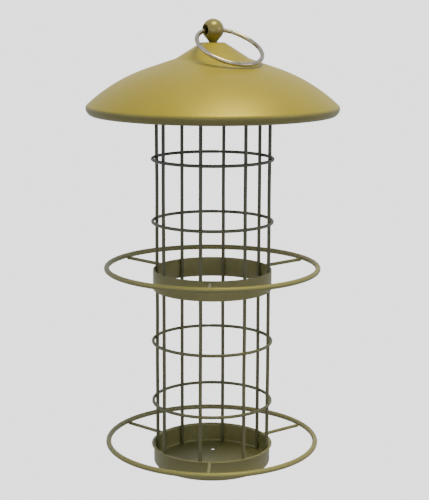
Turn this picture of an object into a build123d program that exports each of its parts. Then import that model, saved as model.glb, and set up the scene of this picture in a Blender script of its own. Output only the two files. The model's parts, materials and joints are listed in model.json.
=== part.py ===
from build123d import *
from math import atan, cos, degrees, radians, sin, tan
import os

# Two-tier hanging feeder for fat balls: a welded wire cage on a pressed tray, with a strip
# band and two perch rings, under a pressed lid that lifts off and hangs from a wire ring.
# Millimetres, +Z up. The origin is on the cage's axis at the underside of the tray.
# Azimuths are in degrees from -Y, the front, towards +X.

# Cage: eight upright wires with hoops welded round their outside
CAGE_R = 35.6                # to the middle of the upright wires
UPRIGHT_D = 2.2
UPRIGHT_COUNT = 8
UPRIGHT_PHASE = -9.5         # azimuth of the first upright
UPRIGHT_FOOT_Z = 1.2         # the uprights are welded into the corner of the tray
HOOP_OUTER_R = 38.2
HOOP_WIRE_D = 2.0
HOOP_HEIGHTS = [196.0, 157.0, 80.5, 41.5]
TOP_RING_WIRE_D = 3.0
TOP_RING_WELD = 0.6          # how far the uprights sink into the top ring

# Upper feeding band: an open strip with no floor
SHEET_T = 0.8                # sheet of the band, the tray and the lid
BAND_OUTER_R = 37.2
BAND_BOTTOM_Z = 114.2
BAND_TOP_Z = 126.8

# Tray: a pressed cup with a rolled-out lip and drain holes
TRAY_WALL_R = 37.1
TRAY_CORNER_R = 2.5
TRAY_HEIGHT = 13.2
TRAY_LIP_R = 38.5
LIP_BEND_R = 0.5
DRAIN_HOLE_D = 3.2
DRAIN_CIRCLE_R = 21.0
DRAIN_AZIMUTHS = [60.0, 180.0, 300.0]

# Perch rings, each on three spokes
PERCH_R = 66.0
PERCH_WIRE_D = 3.3
UPPER_PERCH_Z = 127.9
LOWER_PERCH_Z = 15.2
SPOKE_D = 2.2
SPOKE_AZIMUTHS = [0.0, 120.0, 240.0]
SPOKE_DROP = 1.2             # outer end below the centre of the perch ring
SPOKE_WELD = 0.4             # sinks this far into what it is welded to
UPPER_SPOKE_Z = 125.0        # inner end, on the band
LOWER_SPOKE_Z = 11.9         # inner end, under the lip of the tray

# Lid: a small cone with a flat top on a shoulder and a dome that ends in a rolled-in rim
CONE_TOP_R = 7.4
CONE_TOP_Z = 266.7
CONE_BASE_R = 22.5
CONE_BASE_Z = 257.1
SHOULDER_SLOPE = 18.6        # degrees below level
SHOULDER_END_R = 40.0
RIM_SLOPE = 43.0             # slope of the dome where the rim begins
LID_R = 77.6
RIM_BEND_R = 2.2             # tight bend from the dome to the widest line
RIM_ROLL_R = 4.8             # wider roll from there inwards
RIM_ROLL_END = 60.0          # degrees below level, where the rolled edge stops
CONE_EDGE_BLEND = 1.2
CREASE_BLEND = 2.5
RUN_GAP = 0.3                # clearance between the lid and the cage

# Finial ball with a cross hole, screwed on from inside the lid
BALL_D = 13.2
BALL_Z = 274.4
NECK_D = 5.0
CROSS_HOLE_D = 6.0
SCREW_D = 3.0
SCREW_HOLE_D = 3.4
SCREW_ENGAGEMENT = 4.2       # thread inside the ball
SCREW_HEAD_D = 6.0
SCREW_HEAD_H = 2.2
RECESS_LENGTH = 3.4
RECESS_WIDTH = 0.8
RECESS_DEPTH = 1.3
WASHER_D = 9.0
WASHER_T = 0.8

# Spring clip: a bent strap whose ends hook under the top ring of the cage
CLIP_W = 8.0
CLIP_T = 0.6
CLIP_BEND_R = 1.2
CLIP_FLAT_R = 5.6
CLIP_KNEE_R = 22.0
CLIP_KNEE_Z = 254.9
CLIP_LEG_R = 32.0
CLIP_ELBOW_Z = 251.6
CLIP_TAB_R = 40.6
CLIP_TAB_Z = 239.0

# Hanging ring, shown laid down on the lid
RING_R = 20.3
RING_WIRE_D = 2.6
RING_LEAN_AZIMUTH = 35.8     # the way the ring leans from the ball
RING_TILT = 28.6             # degrees below level
RING_GAP_FROM_BALL = 324.0   # where the two ends of the wire meet, in degrees round from the ball
RING_GAP_ARC = 1.4           # degrees


def place(azimuth, radius, z):
    """A point from its azimuth, its radius and its height."""
    angle = radians(azimuth)
    return Vector(radius * sin(angle), -radius * cos(angle), z)


def turn(azimuth):
    """The turn about Z that carries +X to an azimuth."""
    return Rot(0, 0, azimuth - 90)


def rod(start, end, diameter):
    """A straight round bar from one point to another."""
    run = end - start
    return Solid.make_cylinder(diameter / 2, run.length, Plane(origin=start, z_dir=run))


def wire_loop(radius, wire_d, z):
    """A closed hoop of round wire, level at a height."""
    return Pos(0, 0, z) * Torus(radius, wire_d / 2)


def spun(outline):
    """A solid of revolution from a closed outline of radius and height."""
    return revolve(Plane.XZ * make_face(outline), Axis.Z)


def upright(azimuth):
    return rod(place(azimuth, CAGE_R, UPRIGHT_FOOT_Z), place(azimuth, CAGE_R, UPRIGHT_TOP_Z), UPRIGHT_D)


def feeding_band():
    height = BAND_TOP_Z - BAND_BOTTOM_Z
    middle = Pos(0, 0, BAND_BOTTOM_Z + height / 2)
    return middle * (Cylinder(BAND_OUTER_R, height) - Cylinder(BAND_OUTER_R - SHEET_T, height))


def tray():
    """The cup is turned from its section, then the drain holes are punched."""
    wall_in = TRAY_WALL_R - SHEET_T
    corner_in = TRAY_CORNER_R - SHEET_T
    floor_r = TRAY_WALL_R - TRAY_CORNER_R
    lip_under = TRAY_HEIGHT - SHEET_T
    bend_in = LIP_BEND_R + SHEET_T
    bend_r = TRAY_WALL_R + LIP_BEND_R
    bend_z = lip_under - LIP_BEND_R
    outline = [
        Line((0, 0), (floor_r, 0)),
        CenterArc((floor_r, TRAY_CORNER_R), TRAY_CORNER_R, 270, 90),
        Line((TRAY_WALL_R, TRAY_CORNER_R), (TRAY_WALL_R, bend_z)),
        CenterArc((bend_r, bend_z), LIP_BEND_R, 180, -90),
        Polyline((bend_r, lip_under), (TRAY_LIP_R, lip_under), (TRAY_LIP_R, TRAY_HEIGHT), (bend_r, TRAY_HEIGHT)),
        CenterArc((bend_r, bend_z), bend_in, 90, 90),
        Line((wall_in, bend_z), (wall_in, TRAY_CORNER_R)),
        CenterArc((floor_r, TRAY_CORNER_R), corner_in, 0, -90),
        Polyline((floor_r, SHEET_T), (0, SHEET_T), (0, 0)),
    ]
    cup = spun(outline)
    for azimuth in DRAIN_AZIMUTHS:
        cup -= Pos(place(azimuth, DRAIN_CIRCLE_R, 0)) * Cylinder(DRAIN_HOLE_D / 2, 4 * SHEET_T)
    return cup


def spoke(azimuth, inner_r, inner_z, ring_z):
    outer_r = PERCH_R - PERCH_WIRE_D / 2 + SPOKE_WELD
    start = place(azimuth, inner_r - SPOKE_WELD, inner_z)
    return rod(start, place(azimuth, outer_r, ring_z - SPOKE_DROP), SPOKE_D)


def corner_inside(corner, slope_in, slope_out, depth):
    """The corner of an outline moved inwards by a sheet's thickness."""
    first = Vector(sin(slope_in), cos(slope_in))
    second = Vector(sin(slope_out), cos(slope_out))
    return Vector(*corner) - (first + second) * (depth / (1 + first.dot(second)))


def lid_side(depth):
    """One face of the lid's sheet from the axis to the rim, as edges and its two end points."""
    cone_slope = atan((CONE_TOP_Z - CONE_BASE_Z) / (CONE_BASE_R - CONE_TOP_R))
    shoulder = radians(SHOULDER_SLOPE)
    rim = radians(RIM_SLOPE)
    top = corner_inside((CONE_TOP_R, CONE_TOP_Z), 0, cone_slope, depth)
    crease = corner_inside((CONE_BASE_R, CONE_BASE_Z), cone_slope, shoulder, depth)
    shoulder_end = corner_inside((SHOULDER_END_R, SHOULDER_END_Z), shoulder, shoulder, depth)
    dome_end_r = LID_R - RIM_BEND_R * (1 - sin(rim))
    dome_r = (dome_end_r - SHOULDER_END_R) / (sin(rim) - sin(shoulder))
    dome_centre = Vector(SHOULDER_END_R - dome_r * sin(shoulder), SHOULDER_END_Z - dome_r * cos(shoulder))
    bend_centre = dome_centre + Vector(sin(rim), cos(rim)) * (dome_r - RIM_BEND_R)
    roll_centre = bend_centre - Vector(RIM_ROLL_R - RIM_BEND_R, 0)
    dome = CenterArc(dome_centre, dome_r - depth, 90 - SHOULDER_SLOPE, SHOULDER_SLOPE - RIM_SLOPE)
    rim_bend = CenterArc(bend_centre, RIM_BEND_R - depth, 90 - RIM_SLOPE, RIM_SLOPE - 90)
    roll = CenterArc(roll_centre, RIM_ROLL_R - depth, 0, -RIM_ROLL_END)
    axis_point = Vector(0, CONE_TOP_Z - depth)
    edges = [Line(axis_point, top), Line(top, crease), Line(crease, shoulder_end), dome, rim_bend, roll]
    return edges, axis_point, roll @ 1, top, crease


def lid_shell():
    outer, outer_axis, outer_end, outer_top, outer_crease = lid_side(0)
    inner, inner_axis, inner_end, inner_top, inner_crease = lid_side(SHEET_T)
    section = make_face(outer + inner + [Line(outer_axis, inner_axis), Line(outer_end, inner_end)])
    blends = [
        (outer_top, CONE_EDGE_BLEND),
        (inner_top, CONE_EDGE_BLEND - SHEET_T),
        (outer_crease, CREASE_BLEND),
        (inner_crease, CREASE_BLEND + SHEET_T),
    ]
    for corner, radius in blends:
        nearest = section.vertices().sort_by_distance(corner)[0]
        section = fillet(nearest, radius)
    lid = revolve(Plane.XZ * section, Axis.Z)
    return lid - Pos(0, 0, CONE_TOP_Z) * Cylinder(SCREW_HOLE_D / 2, 4 * SHEET_T)


def finial_ball():
    """A ball on a short neck, with the ring's cross hole and a blind hole for the screw."""
    neck_height = BALL_Z - CONE_TOP_Z
    ball = Pos(0, 0, BALL_Z) * Sphere(BALL_D / 2)
    ball += Pos(0, 0, CONE_TOP_Z + neck_height / 2) * Cylinder(NECK_D / 2, neck_height)
    across = place(RING_LEAN_AZIMUTH - 90, BALL_D, 0)
    middle = Vector(0, 0, BALL_Z)
    ball -= rod(middle - across, middle + across, CROSS_HOLE_D)
    screw_tip = Vector(0, 0, CONE_TOP_Z + SCREW_ENGAGEMENT)
    return ball - rod(Vector(0, 0, CONE_TOP_Z - 1), screw_tip, SCREW_D)


def finial_washer():
    middle = Pos(0, 0, WASHER_BOTTOM_Z + WASHER_T / 2)
    return middle * (Cylinder(WASHER_D / 2, WASHER_T) - Cylinder(SCREW_HOLE_D / 2, WASHER_T))


def finial_screw():
    """A pan head screw with a cross recess, pointing up into the ball."""
    shank = rod(Vector(0, 0, WASHER_BOTTOM_Z - 1), Vector(0, 0, CONE_TOP_Z + SCREW_ENGAGEMENT), SCREW_D)
    head = Pos(0, 0, WASHER_BOTTOM_Z - SCREW_HEAD_H / 2) * Cylinder(SCREW_HEAD_D / 2, SCREW_HEAD_H)
    head = fillet(head.edges().sort_by(Axis.Z)[0], SCREW_HEAD_H / 2)
    recess_z = WASHER_BOTTOM_Z - SCREW_HEAD_H + RECESS_DEPTH / 2
    for angle in (0, 90):
        head -= Pos(0, 0, recess_z) * Rot(0, 0, angle) * Box(RECESS_LENGTH, RECESS_WIDTH, RECESS_DEPTH)
    return head + shank


def lid_spring_clip():
    """A strap bent to the inside of the lid, with a hook and a thumb tab at each end."""
    hook_z = TOP_RING_Z - TOP_RING_WIRE_D / 2 - RUN_GAP - CLIP_T / 2
    half = [
        (CLIP_FLAT_R, CLIP_TOP_Z - CLIP_T / 2),
        (CLIP_KNEE_R, CLIP_KNEE_Z),
        (CLIP_LEG_R, CLIP_ELBOW_Z),
        (CLIP_LEG_R, hook_z),
        (CLIP_TAB_R, hook_z),
        (CLIP_TAB_R, CLIP_TAB_Z),
    ]
    right = [(r, 0, z) for r, z in half]
    left = [(-r, 0, z) for r, z in reversed(half)]
    path = FilletPolyline(*left, *right, radius=CLIP_BEND_R)
    section = Plane(origin=path @ 0, x_dir=(0, 1, 0), z_dir=path % 0) * Rectangle(CLIP_W, CLIP_T)
    strap = sweep(section, path=path)
    strap -= Pos(0, 0, CLIP_TOP_Z) * Cylinder(SCREW_HOLE_D / 2, 4 * CLIP_T)
    return turn(CLIP_AZIMUTH) * strap


def hanging_ring():
    """Built level beside the ball, then tipped down and turned to its azimuth."""
    centre = Vector(RING_R, 0, 0)
    start = Rot(0, 0, 180 + RING_GAP_FROM_BALL + RING_GAP_ARC / 2)
    section = Plane.XZ * Pos(RING_R, 0) * Circle(RING_WIRE_D / 2)
    loop = revolve(section, Axis.Z, revolution_arc=360 - RING_GAP_ARC)
    return Pos(0, 0, BALL_Z) * turn(RING_LEAN_AZIMUTH) * Rot(0, RING_TILT, 0) * Pos(centre) * start * loop


# Heights that follow from the driving dimensions
SHOULDER_END_Z = CONE_BASE_Z - (SHOULDER_END_R - CONE_BASE_R) * tan(radians(SHOULDER_SLOPE))
LID_DEPTH_AT_CAGE = (CAGE_R - CONE_BASE_R) * tan(radians(SHOULDER_SLOPE))
TOP_RING_REACH = (SHEET_T + RUN_GAP + TOP_RING_WIRE_D / 2) / cos(radians(SHOULDER_SLOPE))
TOP_RING_Z = CONE_BASE_Z - LID_DEPTH_AT_CAGE - TOP_RING_REACH
UPRIGHT_TOP_Z = TOP_RING_Z - TOP_RING_WIRE_D / 2 + TOP_RING_WELD
CLIP_TOP_Z = CONE_TOP_Z - SHEET_T
WASHER_BOTTOM_Z = CLIP_TOP_Z - CLIP_T - WASHER_T
CLIP_AZIMUTH = UPRIGHT_PHASE + 180 / UPRIGHT_COUNT

parts = {}
for number in range(UPRIGHT_COUNT):
    parts[f"cage_wire_{number + 1}"] = upright(UPRIGHT_PHASE + number * 360 / UPRIGHT_COUNT)
parts["cage_top_ring"] = wire_loop(CAGE_R, TOP_RING_WIRE_D, TOP_RING_Z)
for number, height in enumerate(HOOP_HEIGHTS, 1):
    parts[f"hoop_{number}"] = wire_loop(HOOP_OUTER_R - HOOP_WIRE_D / 2, HOOP_WIRE_D, height)
parts["feeding_band"] = feeding_band()
parts["tray"] = tray()
parts["upper_perch_ring"] = wire_loop(PERCH_R, PERCH_WIRE_D, UPPER_PERCH_Z)
parts["lower_perch_ring"] = wire_loop(PERCH_R, PERCH_WIRE_D, LOWER_PERCH_Z)
for number, azimuth in enumerate(SPOKE_AZIMUTHS, 1):
    parts[f"upper_spoke_{number}"] = spoke(azimuth, BAND_OUTER_R, UPPER_SPOKE_Z, UPPER_PERCH_Z)
    parts[f"lower_spoke_{number}"] = spoke(azimuth, TRAY_WALL_R, LOWER_SPOKE_Z, LOWER_PERCH_Z)
parts["lid_shell"] = lid_shell()
parts["finial_ball"] = finial_ball()
parts["finial_washer"] = finial_washer()
parts["finial_screw"] = finial_screw()
parts["lid_spring_clip"] = lid_spring_clip()
parts["hanging_ring"] = hanging_ring()

os.makedirs("parts", exist_ok=True)
for name, shape in parts.items():
    export_step(shape, f"parts/{name}.step")
    box = shape.bounding_box()
    print(f"{name}: z {box.min.Z:.2f} to {box.max.Z:.2f}, volume {shape.volume:.0f} mm3")
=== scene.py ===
# %% [markdown]
# # A hanging feeder for fat balls, in Blender
#
# The real thing is a wire cage on a pressed tray, under a pressed lid, all powder coated in a
# satin olive gold, with a bare nickel ring to hang it by. The sizes and the joints were
# settled in CAD. Here every visible part gets the mesh and the finish that a close look needs.
#
# The first step loads that CAD model as a fixed frame. Nothing in it is moved: a part is either
# given a better material, or hidden and stood for by a finer piece in the same place.

# %% Load the frame and note its size
import json
import random
from math import asin, atan, cos, degrees, radians, sin, sqrt, tan, tau

import bpy
from mathutils import Matrix, Vector


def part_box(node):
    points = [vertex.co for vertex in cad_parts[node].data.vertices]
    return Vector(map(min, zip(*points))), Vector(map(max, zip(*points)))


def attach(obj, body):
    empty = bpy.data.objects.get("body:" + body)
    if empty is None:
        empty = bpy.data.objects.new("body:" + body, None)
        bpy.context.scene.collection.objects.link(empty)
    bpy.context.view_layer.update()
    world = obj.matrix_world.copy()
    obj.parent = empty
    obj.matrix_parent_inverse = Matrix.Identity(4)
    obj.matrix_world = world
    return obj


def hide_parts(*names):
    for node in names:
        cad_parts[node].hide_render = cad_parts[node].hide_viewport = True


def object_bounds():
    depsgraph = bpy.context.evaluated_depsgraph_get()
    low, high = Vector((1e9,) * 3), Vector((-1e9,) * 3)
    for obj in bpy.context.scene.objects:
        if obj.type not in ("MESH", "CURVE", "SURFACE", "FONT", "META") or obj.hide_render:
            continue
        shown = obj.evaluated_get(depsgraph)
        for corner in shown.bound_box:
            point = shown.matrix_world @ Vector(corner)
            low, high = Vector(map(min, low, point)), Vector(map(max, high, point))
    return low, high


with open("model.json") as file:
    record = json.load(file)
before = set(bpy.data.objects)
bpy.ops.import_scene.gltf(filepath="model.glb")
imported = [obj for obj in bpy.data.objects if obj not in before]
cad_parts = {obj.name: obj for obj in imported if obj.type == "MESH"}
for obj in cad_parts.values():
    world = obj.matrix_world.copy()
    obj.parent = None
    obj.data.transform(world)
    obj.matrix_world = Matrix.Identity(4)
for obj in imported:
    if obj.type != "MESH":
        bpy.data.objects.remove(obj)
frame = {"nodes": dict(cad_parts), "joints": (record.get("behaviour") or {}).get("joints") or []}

CAD_LOW, CAD_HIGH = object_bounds()
MM = 0.001
print("CAD box in mm:", [round(v / MM, 1) for v in CAD_LOW], [round(v / MM, 1) for v in CAD_HIGH])

# %% [markdown]
# ## Small helpers for modelling
#
# Blender's operators act on whatever is selected, so each helper starts by clearing the
# selection. Faces and edges are then picked by where they are, which reads like pointing at
# them. A finished piece has its place baked into its mesh, so its object sits at the origin
# and a pattern on Object coordinates stays put.


# %% Helpers that pick, move and finish
def fresh():
    """Leaves edit mode and deselects everything."""
    if bpy.context.object and bpy.context.object.mode != "OBJECT":
        bpy.ops.object.mode_set(mode="OBJECT")
    bpy.ops.object.select_all(action="DESELECT")


def edit(piece):
    """Makes a piece the only selected one and opens it in edit mode with nothing picked."""
    fresh()
    piece.select_set(True)
    bpy.context.view_layer.objects.active = piece
    bpy.ops.object.mode_set(mode="EDIT")
    bpy.ops.mesh.select_all(action="DESELECT")


def pick(kind, test):
    """In edit mode, picks the vertices, edges or faces whose middle passes a test."""
    mesh = bpy.context.object.data
    bpy.ops.mesh.select_mode(type=kind)
    bpy.ops.mesh.select_all(action="DESELECT")
    bpy.ops.object.mode_set(mode="OBJECT")
    if kind == "VERT":
        for vertex in mesh.vertices:
            vertex.select = test(vertex.co)
    elif kind == "EDGE":
        for line in mesh.edges:
            first, second = (mesh.vertices[index].co for index in line.vertices)
            line.select = test((first + second) / 2)
    else:
        for face in mesh.polygons:
            face.select = test(face.center)
    bpy.ops.object.mode_set(mode="EDIT")


def settle(piece):
    """Bakes a piece's place, turn and scale into its mesh."""
    fresh()
    piece.select_set(True)
    bpy.context.view_layer.objects.active = piece
    bpy.ops.object.transform_apply(location=True, rotation=True, scale=True)
    return piece


def copy_of(piece, name):
    """A copy with a mesh of its own."""
    fresh()
    piece.select_set(True)
    bpy.context.view_layer.objects.active = piece
    bpy.ops.object.duplicate(linked=False)
    twin = bpy.context.object
    twin.name = name
    twin.data.name = name
    return twin


def joined(pieces, name):
    """Several meshes made into one piece."""
    fresh()
    for piece in pieces:
        piece.select_set(True)
    bpy.context.view_layer.objects.active = pieces[0]
    bpy.ops.object.join()
    whole = bpy.context.object
    whole.name = name
    whole.data.name = name
    return whole


def turned(piece, azimuth):
    """Turns a piece about the upright axis, from the front round towards +X."""
    piece.rotation_euler = (0, 0, radians(azimuth))
    return settle(piece)


def place(azimuth, radius, z):
    """A point in metres from an azimuth in degrees and a radius and height in metres."""
    angle = radians(azimuth)
    return Vector((radius * sin(angle), -radius * cos(angle), z))


def middle_of(node):
    low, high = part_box(node)
    return (low + high) / 2


# %% [markdown]
# ## Turning an outline on a lathe
#
# The lid, the tray, the band and the ball are all round. On the real ones a flat blank is
# pressed or spun over a former. The same idea works here: draw half of the section as a chain
# of extruded points, then spin it about the axis. A closed outline gives a sheet with a real
# thickness and a real edge, which a single surface doesn't have.


# %% A lathe
LATHE_STEPS = 160
CHAIN_MERGE = 0.001 * MM     # closes the outline where it comes back to its start
SPIN_MERGE = 0.002 * MM      # closes the seam and the poles of the turned shape


def arc(centre, radius, start, end, steps):
    """Points on an arc of a section, in radius and height, with angles in degrees from level."""
    turn = [radians(start + (end - start) * i / steps) for i in range(steps + 1)]
    return [(centre[0] + radius * cos(a), centre[1] + radius * sin(a)) for a in turn]


def lathe(name, outline, steps=LATHE_STEPS, closed=True):
    """Extrudes an outline point by point and spins it about Z; one on the axis stays open."""
    fresh()
    bpy.ops.mesh.primitive_plane_add(size=MM, location=(0, 0, 0))
    piece = bpy.context.object
    piece.name = name
    piece.data.name = name
    bpy.ops.object.mode_set(mode="EDIT")
    bpy.ops.mesh.select_mode(type="VERT")
    bpy.ops.mesh.select_all(action="SELECT")
    bpy.ops.mesh.merge(type="CENTER")
    here = Vector((outline[0][0], 0, outline[0][1]))
    bpy.ops.transform.translate(value=here)
    for radius, height in outline[1:] + outline[:closed]:
        there = Vector((radius, 0, height))
        bpy.ops.mesh.extrude_region_move(TRANSFORM_OT_translate={"value": there - here})
        here = there
    bpy.ops.mesh.select_all(action="SELECT")
    bpy.ops.mesh.remove_doubles(threshold=CHAIN_MERGE)
    bpy.ops.mesh.select_all(action="SELECT")
    bpy.ops.mesh.spin(steps=steps, angle=tau, center=(0, 0, 0), axis=(0, 0, 1))
    bpy.ops.mesh.select_all(action="SELECT")
    bpy.ops.mesh.remove_doubles(threshold=SPIN_MERGE)
    bpy.ops.mesh.select_all(action="SELECT")
    bpy.ops.mesh.normals_make_consistent(inside=False)
    bpy.ops.object.mode_set(mode="OBJECT")
    return piece

# %% [markdown]
# ## Colours and a way to build a finish
#
# Paint colours are usually quoted as sRGB hex, but shaders work with linear light, so one
# function converts them. Every finish is then a short list of nodes, added by one helper that
# takes the node's settings and what it is wired to. Patterns read Object coordinates, in
# metres, so a texture's scale is one over the real size of its grain.


# %% Helpers for finishes
def linear(hex_colour):
    """An sRGB hex colour as linear red, green, blue and alpha."""
    shades = [int(hex_colour[i:i + 2], 16) / 255 for i in (1, 3, 5)]
    return (*[s / 12.92 if s <= 0.04045 else ((s + 0.055) / 1.055) ** 2.4 for s in shades], 1)


def add(tree, kind, values=None, links=None, **settings):
    """Adds a node with its settings, its socket values and its links."""
    node = tree.nodes.new(kind)
    for setting, value in settings.items():
        setattr(node, setting, value)
    for socket, value in (values or {}).items():
        node.inputs[socket].default_value = value
    for socket, source in (links or {}).items():
        tree.links.new(source, node.inputs[socket])
    return node


def blank_finish(name):
    """A new material with an empty tree."""
    finish = bpy.data.materials.new(name)
    finish.use_nodes = True
    finish.node_tree.nodes.clear()
    return finish, finish.node_tree


def grain(tree, where, size_mm, detail=2.0):
    """Soft noise whose lumps are a real size."""
    values = {"Scale": 1 / (size_mm * MM), "Detail": detail}
    return add(tree, "ShaderNodeTexNoise", values, {"Vector": where}).outputs["Fac"]


def between(tree, factor, low, high):
    """Carries a 0 to 1 pattern to a range, for a socket such as roughness."""
    values = {"To Min": low, "To Max": high}
    return add(tree, "ShaderNodeMapRange", values, {"Value": factor}).outputs["Result"]


# %% [markdown]
# ## The powder coat
#
# The cage and the lid are steel with a metallic powder coat. The powder is blown on dry and
# baked, so it flows to a satin skin with a very fine orange peel, and the mica in it gives a
# tinted, slightly metallic highlight. The layer is a little uneven, which shows as soft lighter
# and darker patches a few centimetres wide. The wires take a darker, greyer copy of the cage's
# coat as painted shade, and a still darker grey towards the top as the painted shadow of the
# lid. The lid's rolled edge takes a greyer tone in the same way, as painted shade. The ball
# takes a darker, greyer and glossier copy of the coat, whose darkness is painted shade for its
# underside.


# %% Powder coats for the lid, the cage and the ball
def powder_coat(name, deep, pale, metallic, roughness, peel, patch_mm, painted_shade=None, fading=None):
    """Satin metallic powder coat between two shades; peel is its bump strength.

    A painted shade, if given, takes over from the first of the fading heights to the second.
    """
    finish, tree = blank_finish(name)
    where = add(tree, "ShaderNodeTexCoord").outputs["Object"]
    patches = grain(tree, where, patch_mm, 2.0)
    mica = grain(tree, where, MICA_MM, 1.0)
    mixed = add(
        tree, "ShaderNodeMath", {1: MICA_SHARE}, {0: mica, 2: patches}, operation="MULTIPLY_ADD")
    span = {"From Min": 0.35, "From Max": 0.80}
    depth = add(tree, "ShaderNodeMapRange", span, {"Value": mixed.outputs[0]})
    shades = {6: linear(deep), 7: linear(pale)}
    shade = add(tree, "ShaderNodeMix", shades, {0: depth.outputs["Result"]}, data_type="RGBA")
    colour = shade.outputs[2]
    # painted shade: a darker, greyer tone takes over across a band of heights
    if painted_shade:
        height = add(tree, "ShaderNodeSeparateXYZ", None, {"Vector": where}).outputs["Z"]
        fade = add(
            tree, "ShaderNodeMapRange", {"From Min": fading[0], "From Max": fading[1]},
            {"Value": height})
        painted_shade_tones = {7: linear(painted_shade)}
        colour = add(
            tree, "ShaderNodeMix", painted_shade_tones, {0: fade.outputs["Result"], 6: colour},
            data_type="RGBA").outputs[2]
    lumps = grain(tree, where, PEEL_MM, 2.0)
    bump = add(
        tree, "ShaderNodeBump", {"Strength": peel, "Distance": PEEL_HEIGHT}, {"Height": lumps})
    gloss = between(tree, patches, roughness - GLOSS_SPREAD, roughness + GLOSS_SPREAD)
    skin = add(
        tree, "ShaderNodeBsdfPrincipled", {"Metallic": metallic},
        {"Base Color": colour, "Roughness": gloss, "Normal": bump.outputs["Normal"]})
    add(tree, "ShaderNodeOutputMaterial", None, {"Surface": skin.outputs["BSDF"]})
    return finish


RIM_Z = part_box("lid_shell")[0].z
# Heights over which the painted shade takes over: downwards on the lid's rim, upwards on the wires.
RIM_FADING = (RIM_Z + 5.9 * MM, RIM_Z + 4.4 * MM)
WIRE_FADING = (120 * MM, 210 * MM)
GLOSS_SPREAD = 0.04
MICA_SHARE = 0.15
MICA_MM = 0.5                # real mica is finer, and is drawn coarse enough to show
PEEL_MM = 1.2
PEEL_HEIGHT = 0.03 * MM
# The lid's coat turns greyer on its rolled rim, as painted shade.
LID_COAT = powder_coat(
    "satin_olive_gold_powder_coat", "#a69a32", "#b0a43a", 0.2, 0.43, 0.12, 40,
    painted_shade="#928e5c", fading=RIM_FADING)
CAGE_COAT = powder_coat("satin_olive_powder_coat", "#9c9b6e", "#a6a578", 0.15, 0.46, 0.06, 25)
# The wire coat is a darker, greyer copy of the cage's coat, as painted shade, and greyer still
# towards the top, as the lid's painted shadow.
WIRE_COAT = powder_coat(
    "olive_powder_coat_with_painted_shade_on_wire", "#7c7e66", "#86886e", 0.1, 0.5, 0.06, 25,
    painted_shade="#5c5e5e", fading=WIRE_FADING)
# The knob's coat is a darker, greyer copy of the lid's, as painted shade for the ball's underside.
KNOB_COAT = powder_coat("glossy_olive_coat_with_painted_shade_on_knob", "#8a8354", "#968e5e", 0.35, 0.31, 0.10, 8)
print("powder coats:", LID_COAT.name, CAGE_COAT.name, WIRE_COAT.name, KNOB_COAT.name)

# %% [markdown]
# ## Bare metals
#
# The hanging ring is nickel plated steel wire. It was drawn through a die, so it has faint
# lines along its length, and it is a little dull from handling. The screw and its washer are
# zinc plated, which is bluish and slightly mottled. The clip inside the lid is spring steel
# strip: dark grey with a brown tinge from tempering. All are full metals, so their colour is
# the colour of their reflection, and roughness does most of the work.


# %% Plated and plain metals
def bare_metal(name, dark, light, roughness, mottle_mm, spread):
    """A full metal between two tints, with a roughness that wanders by a spread."""
    finish, tree = blank_finish(name)
    where = add(tree, "ShaderNodeTexCoord").outputs["Object"]
    mottle = grain(tree, where, mottle_mm, 4.0)
    tints = {6: linear(dark), 7: linear(light)}
    tint = add(tree, "ShaderNodeMix", tints, {0: mottle}, data_type="RGBA")
    gloss = between(tree, mottle, roughness - spread, roughness + spread)
    fine = grain(tree, where, mottle_mm / 5, 2.0)
    relief = {"Strength": METAL_BUMP, "Distance": METAL_TEXTURE}
    bump = add(tree, "ShaderNodeBump", relief, {"Height": fine})
    skin = add(
        tree, "ShaderNodeBsdfPrincipled", {"Metallic": 1.0},
        {"Base Color": tint.outputs[2], "Roughness": gloss, "Normal": bump.outputs["Normal"]})
    add(tree, "ShaderNodeOutputMaterial", None, {"Surface": skin.outputs["BSDF"]})
    return finish


METAL_BUMP = 0.2
METAL_TEXTURE = 0.01 * MM
NICKEL = bare_metal("nickel_plated_drawn_wire", "#7f796f", "#bdb6a9", 0.17, 3.0, 0.04)
ZINC = bare_metal("bright_zinc_plate", "#a9acae", "#cdd1d3", 0.30, 1.5, 0.08)
SPRING_STEEL = bare_metal("tempered_spring_steel_strip", "#6b645b", "#8c857a", 0.38, 5.0, 0.06)
print("metals:", NICKEL.name, ZINC.name, SPRING_STEEL.name)

# %% [markdown]
# ## Handing a piece over
#
# Every finished piece gets smooth shading with crisp edges, one finish, the CAD body it moves with
# and the CAD nodes it stands for.


# %% Finish a piece
def hand_over(piece, finish, body, slot, *nodes, crease=35):
    """Shades a piece, gives it a finish and ties it to its body and CAD nodes; the slot is not
    used.
    """
    settle(piece)
    bpy.ops.object.shade_smooth_by_angle(angle=radians(crease))
    piece.data.materials.clear()
    piece.data.materials.append(finish)
    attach(piece, body)
    if nodes:
        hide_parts(*nodes)
    print(f"{piece.name}: {len(piece.data.polygons)} faces on {body}")
    return piece


# %% [markdown]
# ## The lid
#
# One pressing: a small cone with a flat top, a shallow shoulder, a dome that steepens towards
# the edge, and a rim rolled inwards so that no raw edge faces the birds. The section is walked
# from the axis outwards, noting the slope at every point. The inside face is then the same walk
# moved in by the sheet's thickness along the normal, which keeps the sheet even through every
# bend, as pressing does.

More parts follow.
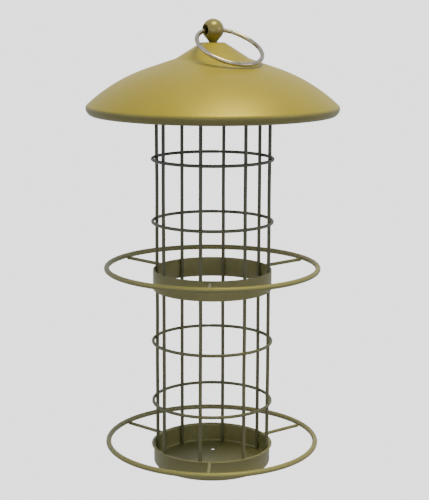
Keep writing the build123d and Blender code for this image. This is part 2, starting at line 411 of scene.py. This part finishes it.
# %% Sizes of the lid
LID_LOW, LID_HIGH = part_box("lid_shell")
SHEET = 0.8 * MM
LID_R = (LID_HIGH.x - LID_LOW.x) / 2
CONE_TOP = (7.4 * MM, LID_HIGH.z)
CONE_BASE = (22.5 * MM, LID_HIGH.z - 9.6 * MM)
SHOULDER_SLOPE = 18.6        # degrees below level, as all the slopes here
SHOULDER_END_R = 40 * MM
RIM_SLOPE = 43
RIM_BEND_R = 2.2 * MM        # tight bend from the dome to the widest line
RIM_ROLL_R = 4.8 * MM        # wider roll from there inwards
RIM_ROLL_END = 150           # slope where the rolled edge stops, past the vertical
CONE_SLOPE = degrees(atan((CONE_TOP[1] - CONE_BASE[1]) / (CONE_BASE[0] - CONE_TOP[0])))
CONE_EDGE_BLEND = 1.2 * MM
CREASE_BLEND = 2.5 * MM
SCREW_HOLE_R = 1.7 * MM
print(f"the lid is {2 * LID_R / MM:.1f} mm wide and its cone falls at {CONE_SLOPE:.1f} degrees")

# %% [markdown]
# ## Walking the lid's section
#
# A corner in pressed sheet is always a bend, so the walk never turns sharply. One helper rounds
# the corner between two straight runs, and another follows an arc whose centre is known, as for
# the dome. Each arc starts at the slope where the last one stopped, so the light runs over the
# lid without a step.

# %% Make the lid
def normal(slope):
    """The outward normal, in radius and height, of a surface that falls at a slope."""
    return sin(radians(slope)), cos(radians(slope))


def bend(walk, corner, slopes, radius, steps):
    """Adds a rounded corner to a walk of (radius, height, slope)."""
    way = 1 if slopes[1] > slopes[0] else -1
    back = radius * tan(radians(abs(slopes[1] - slopes[0]) / 2))
    out, up = normal(slopes[0])
    start = (corner[0] - back * up, corner[1] + back * out)
    centre = (start[0] - way * radius * out, start[1] - way * radius * up)
    sweep(walk, centre, way * radius, slopes, steps)


def sweep(walk, centre, radius, slopes, steps):
    """Adds an arc to a walk; a negative radius is hollow from outside."""
    for i in range(steps + 1):
        slope = slopes[0] + (slopes[1] - slopes[0]) * i / steps
        out, up = normal(slope)
        walk.append((centre[0] + radius * out, centre[1] + radius * up, slope))


def lid_walk():
    """The outer face from the screw hole to the rolled edge, as (radius, height, slope)."""
    walk = [(SCREW_HOLE_R, LID_HIGH.z, 0)]
    bend(walk, CONE_TOP, (0, CONE_SLOPE), CONE_EDGE_BLEND, 6)
    bend(walk, CONE_BASE, (CONE_SLOPE, SHOULDER_SLOPE), CREASE_BLEND, 4)
    fall = (SHOULDER_END_R - CONE_BASE[0]) * tan(radians(SHOULDER_SLOPE))
    start = (SHOULDER_END_R, CONE_BASE[1] - fall)
    out, up = normal(SHOULDER_SLOPE)
    rim_out, rim_up = normal(RIM_SLOPE)
    dome_end_r = LID_R - RIM_BEND_R * (1 - rim_out)
    dome_r = (dome_end_r - start[0]) / (rim_out - out)
    centre = (start[0] - dome_r * out, start[1] - dome_r * up)
    sweep(walk, centre, dome_r, (SHOULDER_SLOPE, RIM_SLOPE), 18)
    reach = dome_r - RIM_BEND_R
    bend_centre = (centre[0] + reach * rim_out, centre[1] + reach * rim_up)
    roll_centre = (bend_centre[0] + RIM_BEND_R - RIM_ROLL_R, bend_centre[1])
    walk.pop()
    sweep(walk, bend_centre, RIM_BEND_R, (RIM_SLOPE, 90), 10)
    walk.pop()
    sweep(walk, roll_centre, RIM_ROLL_R, (90, RIM_ROLL_END), 10)
    return walk


def sheet_outline(walk, sheet, edge_steps=6):
    """A closed outline of even thickness, with a rounded outer edge."""
    outer = [(r, z) for r, z, slope in walk]
    inner = [(r - sheet * normal(s)[0], z - sheet * normal(s)[1]) for r, z, s in walk]
    end_r, end_z, slope = walk[-1]
    out, up = normal(slope)
    middle = (end_r - sheet / 2 * out, end_z - sheet / 2 * up)
    facing = 90 - slope
    edge = arc(middle, sheet / 2, facing, facing - 180, edge_steps)[1:-1]
    return outer + edge + inner[::-1]


lid = lathe("lid", sheet_outline(lid_walk(), SHEET))
hand_over(lid, LID_COAT, "lid", "lid_coat", "lid_shell")

# %% [markdown]
# ## The finial ball
#
# A turned ball with a hole drilled across it for the hanging ring. Turning it about the hole's
# own axis gives a clean hole: the outline is the ball's curve, closed by the wall of the hole,
# with the mouths eased where a countersink took off the burr. A short neck tapers to the cone.

# %% Make the ball and its neck
RING_JOINT = next(joint for joint in frame["joints"] if joint["name"] == "ring_swing")
BALL_CENTRE = Vector(RING_JOINT["pos_m"])
BALL_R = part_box("finial_ball")[1].z - BALL_CENTRE.z
HOLE_R = 3.0 * MM
HOLE_EASE = 0.4 * MM
HOLE_AXIS = Vector(RING_JOINT["axis"])
NECK_TOP_R = 4.1 * MM        # the neck draws the ball in to a foot on the cone
NECK_FOOT_R = 2.5 * MM
NECK_FOOT_HEIGHT = 0.4 * MM


def ball_outline():
    """The ball's curve from one mouth to the other, closed by the wall of the hole."""
    mouth = degrees(asin((HOLE_R + HOLE_EASE) / BALL_R))
    mouth_z = BALL_R * cos(radians(mouth))
    wall_z = mouth_z - HOLE_EASE
    ease = arc((HOLE_R + HOLE_EASE, -wall_z), HOLE_EASE, 180, 270, 4)
    curve = arc((0, 0), BALL_R, mouth - 90, 90 - mouth, 44)
    mirrored = [(r, -z) for r, z in reversed(ease)]
    return ease[:-1] + curve + mirrored[1:]


ball = lathe("finial_knob", ball_outline(), steps=72)
ball.rotation_euler = HOLE_AXIS.to_track_quat("Z", "Y").to_euler()
ball.location = BALL_CENTRE
settle(ball)
neck_top = BALL_CENTRE.z - sqrt(BALL_R ** 2 - NECK_TOP_R ** 2)
foot_top = LID_HIGH.z + NECK_FOOT_HEIGHT
neck_foot = [(MM, LID_HIGH.z), (NECK_FOOT_R, LID_HIGH.z), (NECK_FOOT_R, foot_top)]
neck = lathe("neck", [*neck_foot, (NECK_TOP_R, neck_top), (MM, neck_top)], steps=48)
knob = joined([ball, neck], "finial_knob")
hand_over(knob, KNOB_COAT, "lid", "lid_coat", "finial_ball", crease=50)

# %% [markdown]
# ## Round wire
#
# Cages like this are made of drawn wire, cut to length and resistance welded. A straight wire
# starts as a cylinder whose cut ends are bevelled. A hoop starts as a torus, and its butt weld
# is a slight collar made by fattening a few loops of the wire.


# %% Straight wires and hoops
WIRE_END_EASE = 0.25 * MM


def straight_wire(name, start, end, diameter):
    """A cylinder between two points with its cut ends eased."""
    fresh()
    run = end - start
    bpy.ops.mesh.primitive_cylinder_add(
        vertices=20, radius=diameter / 2, depth=run.length, location=(start + end) / 2,
        rotation=run.to_track_quat("Z", "Y").to_euler())
    wire = bpy.context.object
    wire.name = name
    wire.data.name = name
    edit(wire)
    half = run.length / 2
    pick("EDGE", lambda spot: abs(abs(spot.z) - half) < MM * 0.01)
    bpy.ops.mesh.bevel(offset=WIRE_END_EASE, segments=3, affect="EDGES")
    bpy.ops.object.mode_set(mode="OBJECT")
    return settle(wire)


def wire_hoop(name, radius, wire_d, z, weld_azimuth, collar):
    """A torus with a small collar where its ends were butt welded."""
    fresh()
    bpy.ops.mesh.primitive_torus_add(
        major_segments=192, minor_segments=18, major_radius=radius, minor_radius=wire_d / 2,
        location=(0, 0, z))
    hoop = bpy.context.object
    hoop.name = name
    hoop.data.name = name
    settle(hoop)
    edit(hoop)
    weld = place(weld_azimuth, radius, z)
    for reach, swell in ((wire_d * 1.1, 0.4), (wire_d * 0.62, 0.6)):
        pick("VERT", lambda spot: (spot - weld).length < reach)
        bpy.ops.transform.shrink_fatten(value=-collar * swell)
    bpy.ops.object.mode_set(mode="OBJECT")
    return hoop


# %% [markdown]
# ## Weld nuggets
#
# Where two wires cross they are squeezed between electrodes, so a little metal flows into the
# corner, and the powder fills it further. One nugget is modelled, a sphere pulled into a saddle
# that lies between the wires, and every joint gets its own copy, each a bit different in size.


# %% Weld nuggets
random.seed(11)


def nugget(name, size):
    """A sphere drawn out along X, then pinched at its waist."""
    fresh()
    bpy.ops.mesh.primitive_uv_sphere_add(segments=14, ring_count=10, radius=1)
    blob = bpy.context.object
    blob.name = name
    blob.data.name = name
    edit(blob)
    pick("VERT", lambda spot: spot.y > 0.35)
    bpy.ops.transform.resize(value=(0.8, 1, 0.8))
    bpy.ops.object.mode_set(mode="OBJECT")
    blob.scale = size
    return settle(blob)


def weld_ring(name, azimuths, radius, z, size, wobble=0.15):
    """Copies of a nugget round a circle, each scaled a little differently."""
    pattern = nugget("nugget_pattern", size)
    blobs = []
    for number, azimuth in enumerate(azimuths):
        blob = copy_of(pattern, f"nugget_{number}")
        blob.scale = [random.uniform(1 - wobble, 1 + wobble) for _ in range(3)]
        settle(blob)
        blob.location = (0, -radius, z + random.uniform(-0.1, 0.1) * MM)
        settle(blob)
        blobs.append(turned(blob, azimuth))
    bpy.data.objects.remove(pattern)
    return joined(blobs, name)


# %% [markdown]
# ## The eight uprights
#
# One wire is modelled where the CAD has its first one, then copied and turned. Real wires are
# never quite straight between the welds, so each copy gets a bow of a fraction of a millimetre,
# made by pulling its middle with a smooth falloff.

# %% Make the uprights
WIRE_LOW, WIRE_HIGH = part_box("cage_wire_1")
WIRE_MIDDLE = (WIRE_LOW + WIRE_HIGH) / 2
CAGE_R = sqrt(WIRE_MIDDLE.x ** 2 + WIRE_MIDDLE.y ** 2)
CAGE_PHASE = degrees(asin(WIRE_MIDDLE.x / CAGE_R))
UPRIGHT_D = WIRE_HIGH.x - WIRE_LOW.x
UPRIGHTS = 8
AZIMUTHS = [CAGE_PHASE + number * 360 / UPRIGHTS for number in range(UPRIGHTS)]
BOW = 0.18 * MM
BOWED_AT = (178 * MM, 98 * MM, 62 * MM)
BOW_SPAN = 30 * MM
LEVELS = [8 * MM * step for step in range(1, 31)]
print(f"uprights are {CAGE_R / MM:.2f} mm from the axis, the first at {CAGE_PHASE:.1f} degrees")


def cut_across(piece, heights):
    """Adds level loops of vertices, so that a straight piece can bend."""
    edit(piece)
    for height in heights:
        bpy.ops.mesh.select_all(action="SELECT")
        bpy.ops.mesh.bisect(plane_co=(0, 0, height), plane_no=(0, 0, 1))
    bpy.ops.object.mode_set(mode="OBJECT")


def bow(piece, height, push, span):
    """Pulls a level of a wire sideways, fading out over a span."""
    edit(piece)
    pick("VERT", lambda spot: abs(spot.z - height) < 4 * MM)
    bpy.ops.transform.translate(
        value=push, use_proportional_edit=True, proportional_edit_falloff="SMOOTH",
        proportional_size=span)
    bpy.ops.object.mode_set(mode="OBJECT")


foot = place(CAGE_PHASE, CAGE_R, WIRE_LOW.z)
first = straight_wire("upright_pattern", foot, place(CAGE_PHASE, CAGE_R, WIRE_HIGH.z), UPRIGHT_D)
cut_across(first, LEVELS)
for number in range(UPRIGHTS):
    upright = copy_of(first, f"upright_{number + 1}")
    turned(upright, number * 360 / UPRIGHTS)
    for height in BOWED_AT:
        push = (random.uniform(-BOW, BOW), random.uniform(-BOW, BOW), 0)
        bow(upright, height, push, BOW_SPAN)
    hand_over(upright, WIRE_COAT, "cage", "cage_coat", f"cage_wire_{number + 1}")
bpy.data.objects.remove(first)

# %% [markdown]
# ## Hoops, top ring and perch rings
#
# All are closed rings of round wire. The perch rings are the heaviest, because birds hold on to
# them. A torus of the CAD ring's own size is already round and closed, and only its weld is
# shaped. The welds are turned to the back or a side, where a maker hides them.

# %% Make the rings
HOOP_COLLAR = 0.16 * MM
PERCH_COLLAR = 0.12 * MM
HOOP_WELDS_AT = (174, 174, 186, 272)
RAIL_WELD_AT = 100
UPPER_PERCH_WELD_AT = 150
LOWER_PERCH_WELD_AT = 210


def ring_like(node, name, finish, weld_azimuth, collar):
    """A hoop the size of a CAD one."""
    low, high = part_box(node)
    wire_d = high.z - low.z
    radius = (high.x - low.x - wire_d) / 2
    hoop = wire_hoop(name, radius, wire_d, (low.z + high.z) / 2, weld_azimuth, collar)
    return hand_over(hoop, finish, "cage", "cage_coat", node)


for number, weld_at in enumerate(HOOP_WELDS_AT, 1):
    ring_like(f"hoop_{number}", f"cage_hoop_{number}", WIRE_COAT, weld_at, HOOP_COLLAR)
ring_like("cage_top_ring", "cage_top_rail", WIRE_COAT, RAIL_WELD_AT, HOOP_COLLAR)
ring_like("upper_perch_ring", "upper_perch", CAGE_COAT, UPPER_PERCH_WELD_AT, PERCH_COLLAR)
ring_like("lower_perch_ring", "lower_perch", CAGE_COAT, LOWER_PERCH_WELD_AT, PERCH_COLLAR)

# %% [markdown]
# ## The feeding band
#
# A strip rolled round and butt welded, open above and below, so that the food slides through it.
# It is turned on the lathe from a thin upright section with eased edges, and the weld is a nugget
# drawn out into a low seam just right of the front.

# %% Make the band
BAND_LOW, BAND_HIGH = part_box("feeding_band")
BAND_R = BAND_HIGH.x
EDGE_EASE = 0.25 * MM
SEAM_SIZE = (0.45 * MM, 0.22 * MM, 6.1 * MM)
SEAM_AT = 2.5


def strip_outline(outer_r, low, high):
    """The section of an upright strip with eased edges."""
    inner_r = outer_r - SHEET
    corners = [(outer_r, low, 270), (outer_r, high, 0), (inner_r, high, 90), (inner_r, low, 180)]
    outline = []
    for radius, height, start in corners:
        r = radius - EDGE_EASE if radius == outer_r else radius + EDGE_EASE
        z = height + EDGE_EASE if height == low else height - EDGE_EASE
        outline += arc((r, z), EDGE_EASE, start, start + 90, 3)
    return outline


band = lathe("feeding_band_strip", strip_outline(BAND_R, BAND_LOW.z, BAND_HIGH.z))
seam = nugget("seam", SEAM_SIZE)
seam.location = (0, -BAND_R, middle_of("feeding_band").z)
turned(settle(seam), SEAM_AT)
band = joined([band, seam], "feeding_band_strip")
hand_over(band, CAGE_COAT, "cage", "cage_coat", "feeding_band")

# %% [markdown]
# ## The tray
#
# A pressed cup, with a small lip turned out at the top to stiffen it and three punched holes that
# let the rain out. The section runs from the axis out along the underside, up the wall, over the
# lip and back in, so the lathe gives both faces at once. The holes are cut with a Boolean that is
# applied, because a hole that isn't on the axis can't be turned.

# %% Make the tray
TRAY_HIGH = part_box("tray")[1]
LIP_R = TRAY_HIGH.x
LIP_WIDTH = 1.4 * MM
TRAY_R = LIP_R - LIP_WIDTH
TRAY_CORNER = 2.5 * MM
LIP_BEND = 0.5 * MM
DRAIN_R = 1.6 * MM
DRAIN_CIRCLE_R = 21 * MM
DRAINS_AT = (60, 180, 300)


def tray_outline():
    """The cup's section from the axis underneath, up the wall, over the lip and back inside."""
    floor_r = TRAY_R - TRAY_CORNER
    bend_r = TRAY_R + LIP_BEND
    bend_z = TRAY_HIGH.z - SHEET - LIP_BEND
    lip_z = TRAY_HIGH.z - SHEET / 2
    outline = [(0, 0), (floor_r * 0.5, 0)]
    outline += arc((floor_r, TRAY_CORNER), TRAY_CORNER, 270, 360, 8)
    outline += arc((bend_r, bend_z), LIP_BEND, 180, 90, 5)
    outline += arc((LIP_R - SHEET / 2, lip_z), SHEET / 2, -90, 90, 6)
    outline += arc((bend_r, bend_z), LIP_BEND + SHEET, 90, 180, 7)
    outline += arc((floor_r, TRAY_CORNER), TRAY_CORNER - SHEET, 360, 270, 6)
    return outline + [(floor_r * 0.5, SHEET), (0, SHEET)]


def punch(piece, azimuth):
    """Cuts a round drain hole through the floor."""
    fresh()
    bpy.ops.mesh.primitive_cylinder_add(
        vertices=40, radius=DRAIN_R, depth=4 * SHEET, location=place(azimuth, DRAIN_CIRCLE_R, 0))
    punch_tool = bpy.context.object
    cut = piece.modifiers.new("punch", "BOOLEAN")
    cut.operation = "DIFFERENCE"
    cut.object = punch_tool
    fresh()
    piece.select_set(True)
    bpy.context.view_layer.objects.active = piece
    bpy.ops.object.modifier_apply(modifier="punch")
    bpy.data.objects.remove(punch_tool)


cup = lathe("pressed_tray", tray_outline(), closed=False)
for azimuth in DRAINS_AT:
    punch(cup, azimuth)
hand_over(cup, CAGE_COAT, "cage", "cage_coat", "tray")

# %% [markdown]
# ## Spokes
#
# Three short wires hold each perch ring out from the band or the tray. They rise a little
# outwards and meet the ring just below its middle. One is modelled for each level and copied
# round, and each end gets a nugget.

# %% Make the spokes
SPOKE_D = 2.2 * MM
SPOKE_SINK = 0.4 * MM
SPOKE_DROP = 1.2 * MM        # the outer end below the middle of the perch ring
SPOKE_NUGGET = (1.35 * MM, 0.5 * MM, 1.35 * MM)
SPOKES_AT = (0, 120, 240)
UPPER_SPOKE_Z = 125.0 * MM
LOWER_SPOKE_Z = 11.9 * MM


def spokes(level, inner_r, inner_z, ring_node):
    """Three spokes and their welds, from a band or a wall to a perch ring."""
    low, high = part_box(ring_node)
    inner_ring_r = high.x - (high.z - low.z)
    ring_z = (low.z + high.z) / 2
    start = place(0, inner_r - SPOKE_SINK, inner_z)
    end = place(0, inner_ring_r + SPOKE_SINK, ring_z - SPOKE_DROP)
    pattern = straight_wire("spoke_pattern", start, end, SPOKE_D)
    for number, azimuth in enumerate(SPOKES_AT, 1):
        spoke = turned(copy_of(pattern, f"{level}_perch_spoke_{number}"), azimuth)
        hand_over(spoke, CAGE_COAT, "cage", "cage_coat", f"{level}_spoke_{number}")
    bpy.data.objects.remove(pattern)
    inner = weld_ring(f"{level}_inner_welds", SPOKES_AT, inner_r, inner_z, SPOKE_NUGGET)
    outer = weld_ring(
        f"{level}_outer_welds", SPOKES_AT, inner_ring_r, ring_z - SPOKE_DROP, SPOKE_NUGGET)
    welds = joined([inner, outer], f"{level}_perch_welds")
    hand_over(welds, CAGE_COAT, "cage", "cage_coat")


spokes("upper", BAND_R, UPPER_SPOKE_Z, "upper_perch_ring")
spokes("lower", TRAY_R, LOWER_SPOKE_Z, "lower_perch_ring")

# %% [markdown]
# ## The cage's welds
#
# The uprights are welded to every hoop, twice to the band, once to the tray and on their ends to
# the top ring. A nugget is a few tenths of a millimetre proud, just enough to soften the corner
# where two wires meet. Their sizes vary a little, because no two welds are alike.

# %% Weld the uprights to everything that they cross
HOOP_NUGGET = (1.3 * MM, 0.6 * MM, 1.2 * MM)
SHEET_NUGGET = (1.2 * MM, 0.4 * MM, 1.6 * MM)
RAIL_NUGGET = (1.4 * MM, 1.4 * MM, 0.7 * MM)
JOINT_R = CAGE_R + 0.8 * MM
SHEET_JOINT_R = JOINT_R - 0.1 * MM
BAND_WELD_ROWS = (117.5 * MM, 123.5 * MM)
TRAY_WELD_ROW = 7 * MM
RAIL_WELD_DEPTH = 0.1 * MM
for number in range(1, 5):
    height = middle_of(f"hoop_{number}").z
    welds = weld_ring(f"hoop_{number}_welds", AZIMUTHS, JOINT_R, height, HOOP_NUGGET)
    hand_over(welds, WIRE_COAT, "cage", "cage_coat")
rail_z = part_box("cage_top_ring")[0].z + RAIL_WELD_DEPTH
rail_welds = weld_ring("top_rail_welds", AZIMUTHS, CAGE_R, rail_z, RAIL_NUGGET)
hand_over(rail_welds, WIRE_COAT, "cage", "cage_coat")
band_welds = [
    weld_ring(f"band_row_{number}", AZIMUTHS, SHEET_JOINT_R, row, SHEET_NUGGET)
    for number, row in enumerate(BAND_WELD_ROWS, 1)]
hand_over(joined(band_welds, "band_welds"), CAGE_COAT, "cage", "cage_coat")
tray_welds = weld_ring("tray_welds", AZIMUTHS, SHEET_JOINT_R, TRAY_WELD_ROW, SHEET_NUGGET)
hand_over(tray_welds, CAGE_COAT, "cage", "cage_coat")

# %% [markdown]
# ## The hanging ring
#
# A length of drawn wire is bent round until its ends nearly meet, and it is left unwelded so
# that it can be threaded through the ball. A circle is spun almost all the way round, its ends
# are filled and bevelled, and one end is nudged sideways, because such ends never line up.

# %% Make the hanging ring
RING_LEAN = 35.8
RING_TILT = 28.6
RING_R = 20.3 * MM
RING_WIRE_R = 1.3 * MM
RING_GAP_AT = 324            # degrees round from the ball
RING_GAP_ARC = 0.4           # the ends all but touch, and one stands a little proud
RING_END_EASE = 0.3 * MM
END_NUDGE = (0.1 * MM, 0, 0.22 * MM)
NUDGE_SPAN = 9 * MM
RING_FRAME = (
    Matrix.Translation(BALL_CENTRE) @ Matrix.Rotation(radians(RING_LEAN - 90), 4, "Z")
    @ Matrix.Rotation(radians(RING_TILT), 4, "Y") @ Matrix.Translation((RING_R, 0, 0)))


def wire_ring():
    """A circle spun nearly all the way round Z, with its two ends filled and eased."""
    fresh()
    bpy.ops.mesh.primitive_circle_add(
        vertices=24, radius=RING_WIRE_R, location=(RING_R, 0, 0), rotation=(radians(90), 0, 0))
    ring = bpy.context.object
    ring.name = "bent_wire_ring"
    ring.data.name = "bent_wire_ring"
    settle(ring)
    edit(ring)
    bpy.ops.mesh.select_all(action="SELECT")
    bpy.ops.mesh.spin(
        steps=150, angle=radians(360 - RING_GAP_ARC), center=(0, 0, 0), axis=(0, 0, 1))
    bpy.ops.mesh.select_all(action="SELECT")
    bpy.ops.mesh.fill_holes(sides=0)
    bpy.ops.mesh.select_all(action="SELECT")
    bpy.ops.mesh.normals_make_consistent(inside=False)
    bpy.ops.mesh.select_all(action="DESELECT")
    bpy.ops.mesh.select_mode(type="EDGE")
    bpy.ops.mesh.edges_select_sharp(sharpness=radians(60))
    bpy.ops.mesh.bevel(offset=RING_END_EASE, segments=3, affect="EDGES")
    bpy.ops.object.mode_set(mode="OBJECT")
    return ring


ring = wire_ring()
print("ring mesh:", len(ring.data.vertices), "vertices")
edit(ring)
pick("VERT", lambda spot: spot.x > RING_R * 0.9 and 0 <= spot.y < 0.4 * MM)
bpy.ops.transform.translate(
    value=END_NUDGE, use_proportional_edit=True, use_proportional_connected=True,
    proportional_edit_falloff="SMOOTH", proportional_size=NUDGE_SPAN)
bpy.ops.object.mode_set(mode="OBJECT")
gap_turn = Matrix.Rotation(radians(180 + RING_GAP_AT + RING_GAP_ARC / 2), 4, "Z")
ring.matrix_world = RING_FRAME @ gap_turn
hand_over(ring, NICKEL, "ring", "ring_wire", "hanging_ring")

# %% [markdown]
# ## Parts whose CAD shape is right
#
# The screw, its washer and the spring clip sit inside the lid. Their CAD meshes already have
# the recess, the hole and the bends, so they only get their real finish.


# %% Refinish the CAD parts
def refinish(node, finish):
    frame["nodes"][node].material_slots[0].material = finish
    print(node, "is now", finish.name)


refinish("finial_screw", ZINC)
refinish("finial_washer", ZINC)
refinish("lid_spring_clip", SPRING_STEEL)

# %% [markdown]
# ## The floor and the light
#
# A small warm box hangs over the table. The lid takes nearly all of its light and shades the
# cage. A box at each side, a low strip in front and a faint panel behind fill in the wires and
# the sheet below it.
#
# A powder coat shows mostly what it mirrors, so the floor and the surroundings each have three
# strengths, which Light Path nodes choose between. The camera sees them as pale paper, mirror
# reflections see them a little dimmer, and the light that they scatter is low, which keeps the
# undersides dark.

# %% Lay the floor
SEEN_WHITE = 2.2
PAPER = "#6e6e70"
MIRRORED_FLOOR = 0.8
fresh()
bpy.ops.mesh.primitive_plane_add(size=12, location=(0, 0, CAD_LOW.z))
floor = bpy.context.object
floor.name = "studio_floor"
floor_finish, tree = blank_finish("matt_white_paper")
seen = add(tree, "ShaderNodeLightPath").outputs["Is Camera Ray"]
mirrored = add(tree, "ShaderNodeLightPath").outputs["Is Glossy Ray"]
paper = add(tree, "ShaderNodeBsdfDiffuse", {"Color": linear(PAPER)})
sheen = add(tree, "ShaderNodeEmission", {"Color": linear("#ffffff"), "Strength": MIRRORED_FLOOR})
surfaces = {0: mirrored, 1: paper.outputs[0], 2: sheen.outputs[0]}
lit = add(tree, "ShaderNodeMixShader", None, surfaces)
glow = add(tree, "ShaderNodeEmission", {"Color": linear("#ffffff"), "Strength": SEEN_WHITE})
look = add(tree, "ShaderNodeMixShader", None, {0: seen, 1: lit.outputs[0], 2: glow.outputs[0]})
add(tree, "ShaderNodeOutputMaterial", None, {"Surface": look.outputs[0]})
floor.data.materials.append(floor_finish)
print("floor at", round(CAD_LOW.z / MM, 2), "mm")

# %% Hang the lights


def soft_box(name, position, target, width, height, watts, colour="#ffffff"):
    """A large area light, which the camera can't see, aimed at a point."""
    lamp = bpy.data.lights.new(name, "AREA")
    lamp.shape = "RECTANGLE"
    lamp.size = width
    lamp.size_y = height
    lamp.energy = watts
    lamp.color = linear(colour)[:3]
    box = bpy.data.objects.new(name, lamp)
    bpy.context.collection.objects.link(box)
    box.location = position
    aim = Vector(target) - Vector(position)
    box.rotation_euler = aim.to_track_quat("-Z", "Y").to_euler()
    box.visible_camera = False
    return box


AIM = (0, 0, 0.2)
soft_box("overhead_box", (0.16, -0.2, 1.1), AIM, 0.45, 0.3, 9.5, "#fff08c")
soft_box("left_box", (-1.3, -0.5, 0.45), AIM, 0.8, 0.6, 1.6, "#fff8e6")
soft_box("right_box", (1.3, -0.5, 0.55), AIM, 0.8, 0.6, 2.4, "#fff8e6")
soft_box("front_low", (0, -1.6, 0.15), AIM, 1.2, 0.4, 3, "#fff8e6")
soft_box("back_panel", (0, 1.4, 0.5), AIM, 2.4, 1.2, 0.5)

ROOM_LIGHT = 0.03
MIRRORED_ROOM = 1.1
world = bpy.data.worlds.new("pale_studio")
bpy.context.scene.world = world
world.use_nodes = True
world.node_tree.nodes.clear()
seen = add(world.node_tree, "ShaderNodeLightPath").outputs["Is Camera Ray"]
bounced = add(world.node_tree, "ShaderNodeLightPath").outputs["Is Diffuse Ray"]
level = between(world.node_tree, bounced, MIRRORED_ROOM, ROOM_LIGHT)
dim = add(
    world.node_tree, "ShaderNodeBackground", {"Color": linear("#eef0f1")}, {"Strength": level})
white = add(
    world.node_tree, "ShaderNodeBackground", {"Color": linear("#ffffff"), "Strength": SEEN_WHITE})
sky = add(
    world.node_tree, "ShaderNodeMixShader", None, {0: seen, 1: dim.outputs[0], 2: white.outputs[0]})
add(world.node_tree, "ShaderNodeOutputWorld", None, {"Surface": sky.outputs[0]})
print("lights:", [light.name for light in bpy.data.lights])

# %% [markdown]
# ## The camera
#
# A product like this is taken with a long lens from about 80 cm away, so that the uprights stay
# nearly parallel. The camera is a little higher than the feeder and a touch right of the front.
# It looks down by about 11 degrees, which opens the perch rings into flat ellipses.

# %% Set up the camera
CAMERA_AWAY = 798.6 * MM
CAMERA_UP = 295.3 * MM
CAMERA_AZIMUTH = 2.0
CAMERA_TURN = 1.904          # the camera's own turn about the upright axis, in degrees
CAMERA_PITCH = 78.90         # from straight down
CAMERA_ROLL = 0.193
LENS_MM = 93.83
SENSOR_MM = 36
lens = bpy.data.cameras.new("product_camera")
lens.lens = LENS_MM
lens.sensor_width = SENSOR_MM
camera = bpy.data.objects.new("product_camera", lens)
bpy.context.collection.objects.link(camera)
aim = (
    Matrix.Rotation(radians(CAMERA_TURN), 4, "Z") @ Matrix.Rotation(radians(CAMERA_PITCH), 4, "X")
    @ Matrix.Rotation(radians(CAMERA_ROLL), 4, "Z"))
camera.matrix_world = Matrix.Translation(place(CAMERA_AZIMUTH, CAMERA_AWAY, CAMERA_UP)) @ aim
bpy.context.scene.camera = camera
print("camera at", [round(v, 3) for v in camera.matrix_world.translation])
